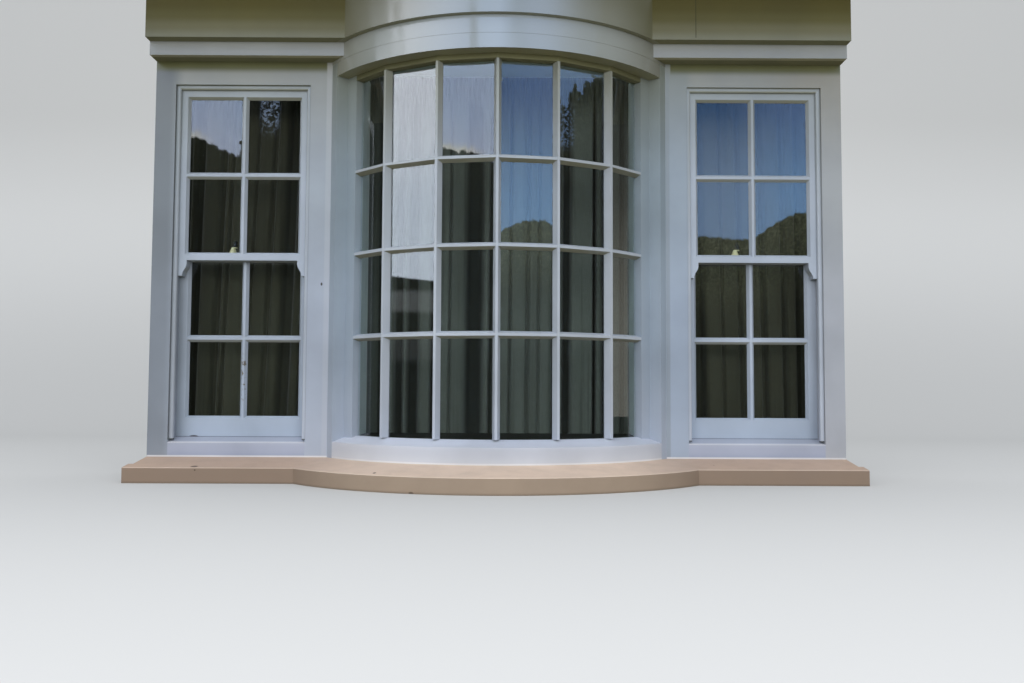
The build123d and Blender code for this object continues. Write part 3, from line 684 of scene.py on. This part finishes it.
def curtain_sheet(name, x0, x1, folds, lean, columns, rows=42):
    """Gathered sheet on a grid of columns across and t down. The columns stand evenly along the
    folded cloth, found from its arc length. The folds open below the track, under fine pleats of
    the tape, and lean sideways on the way down."""
    fine = np.linspace(x0 + 0.004, x1 - 0.004, 6000)
    fine_y = full_depth * fold_depths(fine, folds)
    along = np.concatenate([[0.0], np.cumsum(np.hypot(np.diff(fine), np.diff(fine_y)))])
    s = np.linspace(0.0, 1.0, columns)[None, :]
    x = np.interp(s * along[-1], along, fine)
    t = np.linspace(0.0, 1.0, rows)[:, None] ** 1.25
    z = heading_top + (curtain_foot - heading_top) * t + 0.0 * s
    opened = np.clip((track_foot - z) / 0.16, 0, 1) ** 0.7
    pleats = pleat_depth * np.sin(2 * pi * (x - x0) / pleat_width)
    leaned = x - lean * (t - 0.45) * np.sin(pi * s)
    hung = fold_front + full_depth * fold_depths(leaned, folds)
    y = (1 - opened) * (heading_y + pleats) + opened * hung
    points = np.stack([x + 0 * z, y, z], axis=-1)
    steps = np.linalg.norm(np.diff(points, axis=1), axis=-1)
    arc = np.concatenate([np.zeros((rows, 1)), np.cumsum(steps, axis=1)], axis=1)
    corner = np.arange(rows * columns).reshape(rows, columns)
    quads = np.stack([corner[:-1, :-1], corner[1:, :-1], corner[1:, 1:], corner[:-1, 1:]], axis=-1)
    mesh = bpy.data.meshes.new(name)
    mesh.from_pydata(points.reshape(-1, 3).tolist(), [], quads.reshape(-1, 4).tolist())
    cloth_map = mesh.uv_layers.new(name="cloth")
    flat = np.stack(np.broadcast_arrays(s * along[-1], heading_top - z), axis=-1).reshape(-1, 2)
    cloth_map.data.foreach_set("uv", flat[quads.reshape(-1)].ravel())
    mesh.polygons.foreach_set("use_smooth", np.ones(len(mesh.polygons), dtype=bool))
    mesh.update()
    piece = bpy.data.objects.new(name, mesh)
    bpy.context.scene.collection.objects.link(piece)
    thick = piece.modifiers.new("cloth thickness", "SOLIDIFY")
    thick.thickness = cloth_thickness
    thick.offset = 0.0
    return piece, (float(arc[:, -1].mean()), heading_top - curtain_foot)


curtain_cloth, tree, shader = new_material("curtain_cloth")
cloth_place = tree.nodes.new("ShaderNodeUVMap").outputs["UV"]


def cloth_noise(tree, scale_x, scale_y, detail):
    """Noise over the flat cloth, with its own scale across and down."""
    scaled = on_vectors(tree, "MULTIPLY", cloth_place, (scale_x, scale_y, 1.0))[0]
    return noise(tree, scaled, 1.0, detail)


warp = cloth_noise(tree, 1100.0, 24.0, 2.0)
weft = cloth_noise(tree, 24.0, 1100.0, 2.0)
weave = do_math(tree, "MULTIPLY_ADD", warp, 0.6, times(tree, weft, 0.4))
cloth_tone = blend_colour(tree, spread(tree, weave, 0.35, 0.65), (0.083, 0.098, 0.089), (0.123, 0.144, 0.134))
# Fronts differ a little in how the sun has faded them; painted shade draws soft creases down them
faded = spread(tree, cloth_noise(tree, 7.0, 0.4, 2.0), 0.35, 0.65, 0.0, 0.45)
cloth_tone = blend_colour(tree, faded, cloth_tone, (0.062, 0.071, 0.062))
crease_shade = spread(tree, cloth_noise(tree, 42.0, 0.9, 3.0), 0.50, 0.72, 0.0, 0.55)
cloth_tone = blend_colour(tree, crease_shade, cloth_tone, (0.045, 0.052, 0.045))
# The cloths of the side windows are browner, and painted shade darkens them at their outer edges;
# the middle one is darker at its left end, and painted shade darkens every cloth in its upper half
parts = split(tree, tree.nodes.new("ShaderNodeTexCoord").outputs["Object"])
across = do_math(tree, "ABSOLUTE", parts["X"])
beside = spread(tree, across, 0.66, 0.70)
left_end = do_math(tree, "SUBTRACT", spread(tree, parts["X"], -0.44, -0.60), beside)
outer_end = spread(tree, across, 1.20, 1.37)
upper = spread(tree, parts["Z"], 0.55, 1.20)
for share, shade in (
    (beside, (0.50, 0.43, 0.32)), (left_end, (0.64, 0.66, 0.64)), (outer_end, (0.65, 0.65, 0.60)),
    (upper, (0.70, 0.68, 0.66)),
):
    cloth_tone = blend_colour(tree, share, cloth_tone, shade, how="MULTIPLY")
# Painted shade darkens the folds, less so in the side windows
fold_shade = spread(tree, parts["Y"], fold_front + 0.010, fold_back - 0.010, 0.0, 0.93)
fold_shade = times(tree, fold_shade, do_math(tree, "SUBTRACT", 1.0, times(tree, beside, 0.45)))
cloth_tone = blend_colour(tree, fold_shade, cloth_tone, (0.009, 0.010, 0.008))
feed(tree, shader.inputs["Base Color"], cloth_tone)
shader.inputs["Roughness"].default_value = 0.88
shader.inputs["Sheen Weight"].default_value = 0.1
bump = add_node(tree, "ShaderNodeBump", Strength=0.7, Distance=0.0004, Height=weave)
feed(tree, shader.inputs["Normal"], bump.outputs["Normal"])

for name, x0, x1, folds, lean, columns in (
    ("curtain_left", -1.385, -0.700, left_folds, -0.065, 420),
    ("curtain_middle", -0.660, 0.660, middle_folds, -0.012, 800),
    ("curtain_right", 0.700, 1.385, right_folds, 0.030, 420),
):
    cloth, cut = curtain_sheet(f"{name}_cloth", x0, x1, folds, lean, columns)
    cloth.data.materials.append(curtain_cloth)
    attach(cloth, "root")
    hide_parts(name)

# Floor and backdrop: one pale sheet that curves up behind the unit. It throws back less light
# than it shows, so that undersides stay dark. Gloss sees it pale near the unit and dark further
# out, in front and to the sides.
floor_half = 9.0
floor_front_y = -9.0
floor_drop = 0.0005
backdrop_y = 6.5
curve_radius = 3.5
backdrop_height = 7.0
steps = np.linspace(0.0, pi / 2, 32)
curve_y = backdrop_y - curve_radius + curve_radius * np.sin(steps)
run = np.concatenate([[floor_front_y], curve_y, [backdrop_y]])
rise = np.concatenate([[0.0], curve_radius * (1 - np.cos(steps)), [backdrop_height]]) - floor_drop
side = np.array([-floor_half, floor_half])
points = np.stack(np.broadcast_arrays(side[None, :], run[:, None], rise[:, None]), axis=-1)
corner = np.arange(2 * len(run)).reshape(-1, 2)
quads = np.stack([corner[:-1, 0], corner[:-1, 1], corner[1:, 1], corner[1:, 0]], axis=-1)
mesh = bpy.data.meshes.new("floor")
mesh.from_pydata(points.reshape(-1, 3).tolist(), [], quads.tolist())
mesh.polygons.foreach_set("use_smooth", np.ones(len(mesh.polygons), dtype=bool))
mesh.update()
floor = bpy.data.objects.new("floor", mesh)
bpy.context.scene.collection.objects.link(floor)
floor_card, tree, shader = new_material("floor_card")
parts = split(tree, tree.nodes.new("ShaderNodeTexCoord").outputs["Object"])
path = tree.nodes.new("ShaderNodeLightPath").outputs
near_unit = spread(tree, parts["Y"], -3.2, -2.0)
near_unit = times(tree, near_unit, spread(tree, do_math(tree, "ABSOLUTE", parts["X"]), 3.2, 2.2))
reflected = do_math(tree, "GREATER_THAN", path["Glossy Depth"], 0.5)
in_gloss = times(tree, reflected, near_unit)
through = times(tree, path["Is Transmission Ray"], do_math(tree, "SUBTRACT", 1.0, reflected))
shown = largest(tree, path["Is Camera Ray"], in_gloss, through)
pale = blend_colour(tree, spread(tree, parts["Z"], 0.0, 2.5), (0.60, 0.60, 0.60), (0.88, 0.88, 0.88))
dark_card = blend_colour(tree, reflected, (0.17, 0.165, 0.12), (0.02, 0.022, 0.016))
feed(tree, shader.inputs["Base Color"], blend_colour(tree, shown, dark_card, pale))
shader.inputs["Roughness"].default_value = 0.9
shader.inputs["Specular IOR Level"].default_value = 0.0
floor.data.materials.append(floor_card)

# Light: a dome that is brighter overhead, and one wide low lamp in front. Gloss and glass see a
# patterned dome instead: pale above, dark below an uneven edge, and dark again high at the sides.
world = bpy.data.worlds.new("soft dome")
bpy.context.scene.world = world
world.use_nodes = True
tree = world.node_tree
all_round = tree.nodes.new("ShaderNodeTexCoord").outputs["Generated"]
direction = split(tree, all_round)
bearing = do_math(tree, "ARCTAN2", direction["X"], times(tree, direction["Y"], -1.0))
bearing = do_math(tree, "DIVIDE", bearing, radians(1.0))
height = do_math(tree, "DIVIDE", do_math(tree, "ARCSINE", direction["Z"]), radians(1.0))
bearing_span = 200.0
gloss_strength = 8.0
edge_unit = 30.0


def by_bearing(*stops):
    """Colour over bearings from -100 to 100 degrees, 0 straight in front of the unit and rising
    to the right; each stop is a bearing and a colour or a grey."""
    made = tree.nodes.new("ShaderNodeValToRGB")
    made.color_ramp.interpolation = "LINEAR"
    marks_on = made.color_ramp.elements
    while len(marks_on) < len(stops):
        marks_on.new(0.5)
    for mark, (degrees_round, tone) in zip(marks_on, stops):
        mark.position = degrees_round / bearing_span + 0.5
        mark.color = (*tone, 1.0) if hasattr(tone, "__len__") else (tone, tone, tone, 1.0)
    feed(tree, made.inputs[0], do_math(tree, "MULTIPLY_ADD", bearing, 1 / bearing_span, 0.5))
    return made.outputs["Color"]


# Height of the dark edge over the bearing, as a share of the edge unit in degrees
edge_height = by_bearing(
    (-100, 0.80), (-80, 0.80), (-72, 0.40), (-66, 0.26), (-61, 0.2445), (-56, 0.2285), (-45, 0.26),
    (-30, 0.42), (-22, 0.511), (-19.6, 0.503), (-19.1, 0.494), (-18.4, 0.492), (-17.8, 0.477),
    (-17, 0.470), (-8, 0.42), (0, 0.30), (9, 0.32), (12, 0.323), (14.9, 0.312), (15.9, 0.318),
    (16.4, 0.335), (17.2, 0.350), (18, 0.362), (19.3, 0.367), (19.8, 0.355), (22, 0.33), (40, 0.45),
    (53, 0.585), (54.7, 0.597), (57.4, 0.66), (62, 0.85), (100, 0.80),
)
edge = times(tree, edge_height, edge_unit)
fine_noise = noise(tree, all_round, 150.0, 5.0)
fleck_noise = noise(tree, all_round, 400.0, 3.0)
# One part of it stands 11 degrees higher, with torn sides
torn_bearing = do_math(tree, "ADD", bearing, spread(tree, fine_noise, 0.3, 0.7, -0.35, 0.35))
raised = times(tree, spread(tree, torn_bearing, -17.0, -16.8), spread(tree, bearing, -9.0, -14.0))
edge = do_math(tree, "MULTIPLY_ADD", raised, 11.0, edge)
# The edge is uneven by so many degrees at each bearing, most of all at the far right
unevenness = by_bearing(
    (-100, 0.3), (-75, 0.3), (-66, 0.0), (-50, 0.0), (-30, 0.10), (-22, 0.15), (-17, 0.14), (-8, 0.4),
    (5, 0.3), (11, 0.06), (15, 0.08), (20, 0.12), (30, 0.4), (53, 0.6), (100, 0.6),
)
outline = add_node(
    tree, "ShaderNodeTexNoise", noise_dimensions="1D", W=times(tree, bearing, 2.2), Scale=1.0, Detail=6.0,
    Roughness=0.65,
)
lift = spread(tree, outline.outputs["Fac"], 0.25, 0.75, -0.7, 0.7)
lift = do_math(tree, "ADD", lift, spread(tree, fine_noise, 0.3, 0.7, -0.6, 0.6))
edge = do_math(tree, "MULTIPLY_ADD", unevenness, lift, edge)
above_by = do_math(tree, "SUBTRACT", height, edge)
above = spread(tree, above_by, -0.07, 0.10)
# In two places light flecks show through below it
first_gap = times(tree, line_at(tree, bearing, -15.4, 0.62), spread(tree, height, 15.3, 16.6, 0.0, 0.55))
second_gap = times(tree, line_at(tree, height, 16.7, 1.35), 0.75)
second_gap = times(tree, line_at(tree, bearing, 54.9, 0.85), second_gap)
flecks = spread(tree, fleck_noise, 0.50, 0.57)
above = largest(tree, above, times(tree, flecks, largest(tree, first_gap, second_gap)))
high_tone = by_bearing(
    (-100, (0.30, 0.34, 0.42)), (-75, (0.50, 0.54, 0.62)), (-60, (0.68, 0.71, 0.79)),
    (-48, (0.62, 0.66, 0.76)), (-30, (0.42, 0.48, 0.62)), (-20, (0.29, 0.36, 0.52)),
    (-14, (0.27, 0.36, 0.53)), (0, (0.28, 0.40, 0.64)), (9, (0.05, 0.10, 0.20)),
    (14, (0.035, 0.08, 0.18)), (18, (0.085, 0.14, 0.28)), (40, (0.10, 0.15, 0.26)),
    (56, (0.095, 0.155, 0.28)), (100, (0.30, 0.34, 0.42)),
)
low_tone = by_bearing(
    (-100, (0.30, 0.34, 0.42)), (-75, (0.48, 0.52, 0.60)), (-60, (0.55, 0.61, 0.71)),
    (-48, (0.50, 0.56, 0.68)), (-30, (0.44, 0.49, 0.62)), (-20, (0.41, 0.43, 0.55)),
    (-14, (0.30, 0.36, 0.50)), (0, (0.20, 0.30, 0.48)), (9, (0.13, 0.205, 0.345)),
    (14, (0.14, 0.222, 0.372)), (18, (0.15, 0.27, 0.47)), (40, (0.13, 0.20, 0.33)),
    (56, (0.105, 0.155, 0.26)), (100, (0.30, 0.34, 0.42)),
)
open_tone = blend_colour(tree, spread(tree, height, 11.0, 18.5), low_tone, high_tone)
patchy = spread(tree, noise(tree, all_round, 9.0, 5.0), 0.42, 0.68, 0.0, 0.22)
patchy = times(tree, patchy, spread(tree, bearing, 10.0, -5.0, 0.25, 1.0))
open_tone = blend_colour(tree, patchy, open_tone, (0.46, 0.48, 0.56))
# A warm pale rim stands just over the edge at the left
rim = times(
    tree,
    spread(tree, above_by, 0.48, 0.12),
    spread(tree, bearing, -18.2, -20.4, 0.0, 0.8),
    spread(tree, bearing, -30.0, -24.0),
)
open_tone = blend_colour(tree, rim, open_tone, (0.54, 0.52, 0.46))
# Below the edge it is nearly black, with faint olive flecks towards the right
lit = times(
    tree,
    spread(tree, fleck_noise, 0.35, 0.75, 0.2, 1.0),
    spread(tree, above_by, -6.0, -0.5),
    spread(tree, bearing, 4.0, 14.0, 0.12, 1.0),
    spread(tree, bearing, 30.0, 50.0, 1.0, 0.4),
)
dark_tone = blend_colour(tree, lit, (0.002, 0.0022, 0.0015), (0.075, 0.082, 0.052))
# At the left two paler stripes lie under it, and at the far right it is brown and pales downwards
low_stripe = times(tree, line_at(tree, height, 2.6, 0.9), 0.3)
stripes = times(
    tree,
    largest(tree, line_at(tree, height, 5.6, 0.72), low_stripe),
    spread(tree, bearing, -46.0, -54.0, 0.0, 0.85),
    spread(tree, bearing, -82.0, -74.0),
)
dark_tone = blend_colour(tree, stripes, dark_tone, (0.080, 0.085, 0.088))
brown = times(tree, spread(tree, bearing, 74.0, 82.0), spread(tree, height, 16.0, 3.0, 0.12, 1.0))
dark_tone = blend_colour(tree, brown, dark_tone, (0.085, 0.080, 0.070))
seen_in_gloss = blend_colour(tree, above, dark_tone, open_tone)
# High up it is dark again at both sides, with a torn edge at the left and a soft one at the right
torn_at = add_node(tree, "ShaderNodeCombineXYZ", X=times(tree, bearing, 0.16), Y=times(tree, height, 0.9))
torn = noise(tree, torn_at.outputs[0], 1.0, 5.0, Roughness=0.6)
left_bearing = do_math(tree, "ADD", bearing, spread(tree, torn, 0.3, 0.7, -9.0, 9.0))
side_dark = largest(tree, spread(tree, left_bearing, -60.0, -64.0), spread(tree, bearing, 24.0, 50.0))
side_dark = times(tree, side_dark, spread(tree, height, 20.2, 20.9, 0.0, 0.85))
seen_in_gloss = blend_colour(tree, side_dark, seen_in_gloss, (0.02, 0.02, 0.014))
path = tree.nodes.new("ShaderNodeLightPath").outputs
gloss = add_node(tree, "ShaderNodeBackground", Color=seen_in_gloss, Strength=gloss_strength)
overhead = spread(tree, direction["Z"], 0.10, 0.85, 0.42, 1.25)
dome = add_node(tree, "ShaderNodeBackground", Color=(0.93, 0.965, 1.0), Strength=overhead)
paper = add_node(tree, "ShaderNodeBackground", Color=(0.86, 0.86, 0.86), Strength=1.0)
in_gloss = do_math(tree, "GREATER_THAN", path["Glossy Depth"], 0.5)
no_bounce = do_math(tree, "LESS_THAN", path["Diffuse Depth"], 0.5)
straight = times(tree, largest(tree, path["Is Camera Ray"], path["Is Transmission Ray"]), no_bounce)
first_pick = tree.nodes.new("ShaderNodeMixShader")
feed(tree, first_pick.inputs[0], straight)
feed(tree, first_pick.inputs[1], dome.outputs[0])
feed(tree, first_pick.inputs[2], paper.outputs[0])
last_pick = tree.nodes.new("ShaderNodeMixShader")
feed(tree, last_pick.inputs[0], times(tree, in_gloss, no_bounce))
feed(tree, last_pick.inputs[1], first_pick.outputs[0])
feed(tree, last_pick.inputs[2], gloss.outputs[0])
feed(tree, tree.nodes["World Output"].inputs["Surface"], last_pick.outputs[0])

lamp = bpy.data.lights.new("front lamp", "AREA")
lamp.shape = "RECTANGLE"
lamp.size = 10.0
lamp.size_y = 2.2
lamp.energy = 290.0
lamp_object = bpy.data.objects.new("front lamp", lamp)
lamp_at = Vector((0.0, -6.0, 1.9))
lamp_aim = Vector((0.0, 0.0, 1.0))
lamp_turn = (lamp_aim - lamp_at).to_track_quat("-Z", "Y").to_matrix().to_4x4()
lamp_object.matrix_world = Matrix.Translation(lamp_at) @ lamp_turn
lamp_object.visible_camera = False
lamp_object.visible_glossy = False
lamp_object.visible_transmission = False
bpy.context.scene.collection.objects.link(lamp_object)
